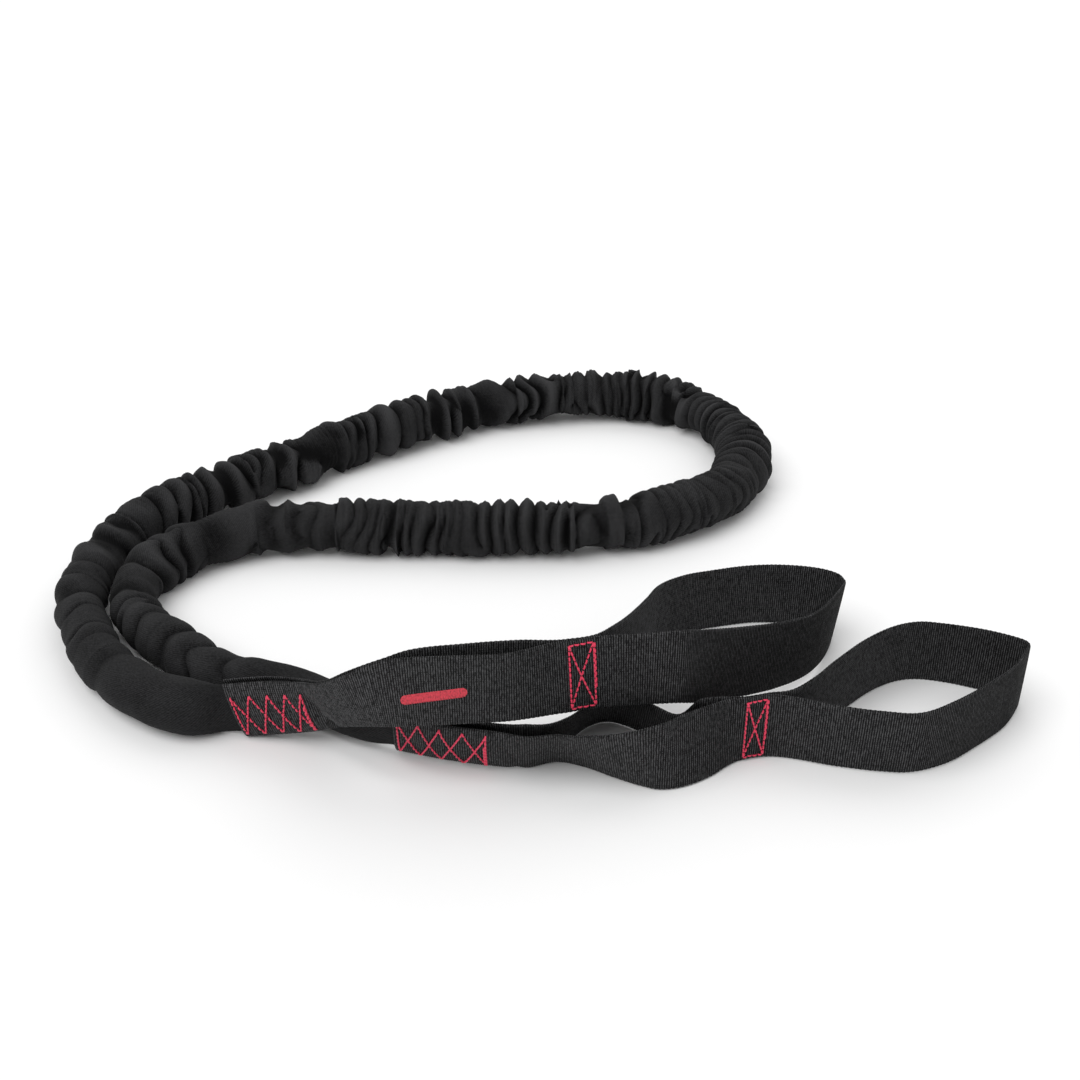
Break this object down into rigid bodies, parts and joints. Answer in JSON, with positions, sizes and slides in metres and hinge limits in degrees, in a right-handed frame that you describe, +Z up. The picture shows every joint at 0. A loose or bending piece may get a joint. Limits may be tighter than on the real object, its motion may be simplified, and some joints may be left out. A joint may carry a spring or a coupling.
{
  "type": "stretching strap",
  "caption": "Elastic stretching strap: a gathered tubular fabric sleeve laid in a long bend, with a looped flat webbing handle sewn over each end.",
  "frame": {"origin": "on the table, under the middle of the strap's bounding box as it lies", "axes": "+X the strap's longest extent, from its bend towards the tips of both hand loops; +Z up from the table; +Y away from the handles, towards the gathered bend"},
  "size_m": [0.5209, 0.4411, 0.0751],
  "materials": {
    "sleeve_fabric": "matt knitted fabric, gathered",
    "webbing": "woven, ribbed across its width",
    "elastic": "woven elastic",
    "thread": "twisted sewing thread, slight sheen",
    "mark_print": "flat print on fabric"
  },
  "bodies": {
    "band": {"sleeve_gathered": "sleeve_fabric", "sleeve_smooth_a": "sleeve_fabric", "elastic_core": "elastic"},
    "end_b": {"sleeve_smooth_b": "sleeve_fabric"},
    "handle_a": {"webbing_a": "webbing", "zigzag_thread_a_front": "thread", "zigzag_thread_a_back": "thread", "box_x_thread_a_front": "thread", "box_x_thread_a_back": "thread", "printed_mark": "mark_print"},
    "handle_b": {"webbing_b": "webbing", "zigzag_thread_b_front": "thread", "zigzag_thread_b_back": "thread", "box_x_thread_b_front": "thread", "box_x_thread_b_back": "thread"}
  },
  "joints": [
    {"name": "handle_a_lift", "type": "hinge", "parent": "band", "child": "handle_a", "pos_m": [-0.1905, -0.1538, 0.0145], "axis": [0, -1, 0], "range_deg": [0, 60], "deforming": ["sleeve_smooth_a", "elastic_core"]},
    {"name": "band_stretch", "type": "slide", "parent": "band", "child": "end_b", "axis": [0.866, -0.5, 0], "range_m": [0, 0.06], "stiffness_N_per_m": 120, "deforming": ["sleeve_smooth_b", "elastic_core"]},
    {"name": "handle_b_swing", "type": "hinge", "parent": "end_b", "child": "handle_b", "pos_m": [-0.0635, -0.1878, 0.0145], "axis": [0, 0, 1], "range_deg": [-20, 0], "deforming": ["sleeve_smooth_b", "elastic_core"]}
  ]
}
